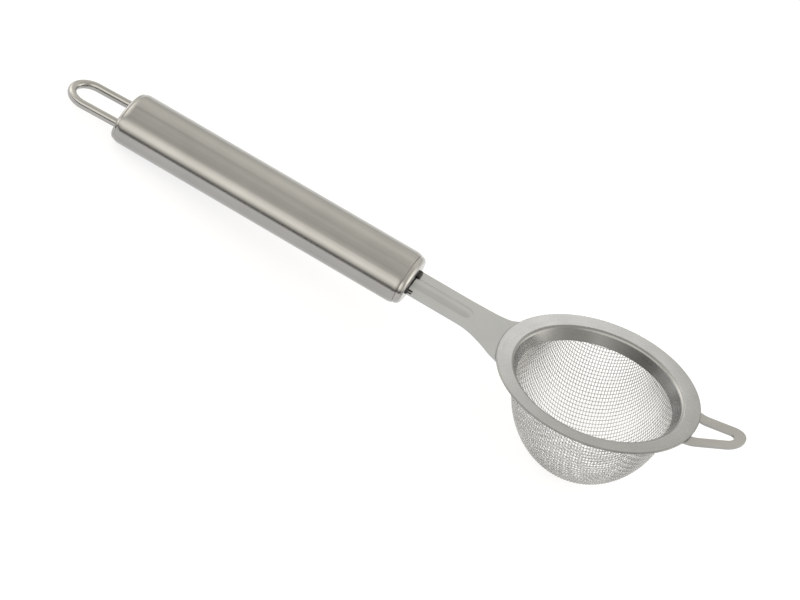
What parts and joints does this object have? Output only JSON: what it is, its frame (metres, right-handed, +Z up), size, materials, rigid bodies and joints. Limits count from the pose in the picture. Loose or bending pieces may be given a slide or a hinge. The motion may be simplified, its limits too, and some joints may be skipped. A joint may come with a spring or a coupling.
{
  "type": "tea strainer",
  "caption": "Hand-held tea strainer: a deep woven wire bowl in a flat brim with a front hook, a ribbed shank, a hollow oval handle and a wire hanging loop.",
  "frame": {"origin": "centre of the bottom of the bounding box, on the table the strainer lies on", "axes": "+X towards the front hook, the handle runs to -X; +Z up from the table; the strainer lies on its bowl and the lower rear edge of its handle, so the mouth leans 14.28 degrees back towards the handle"},
  "size_m": [0.2482, 0.0702, 0.0516],
  "materials": {
    "brim_steel": "satin, spun",
    "mesh_wire": "drawn wire",
    "shank_steel": "satin, stamped",
    "hook_steel": "satin, stamped",
    "tube_steel": "brushed lengthwise",
    "cap_steel": "polished edge, satin face",
    "loop_wire": "bright drawn wire",
    "weld_metal": "dull",
    "residue": "matt black"
  },
  "bodies": {
    "root": {"brim_ring": "brim_steel", "mesh_bowl": "mesh_wire", "shank": "shank_steel", "front_hook": "hook_steel", "handle_tube": "tube_steel", "front_cap": "cap_steel", "rear_cap": "cap_steel", "hanging_loop": "loop_wire", "loop_weld_beads": "weld_metal", "tang_weld_beads": "weld_metal", "shank_spot_welds": "weld_metal", "hook_spot_welds": "weld_metal", "joint_residue": "residue"}
  },
  "joints": []
}
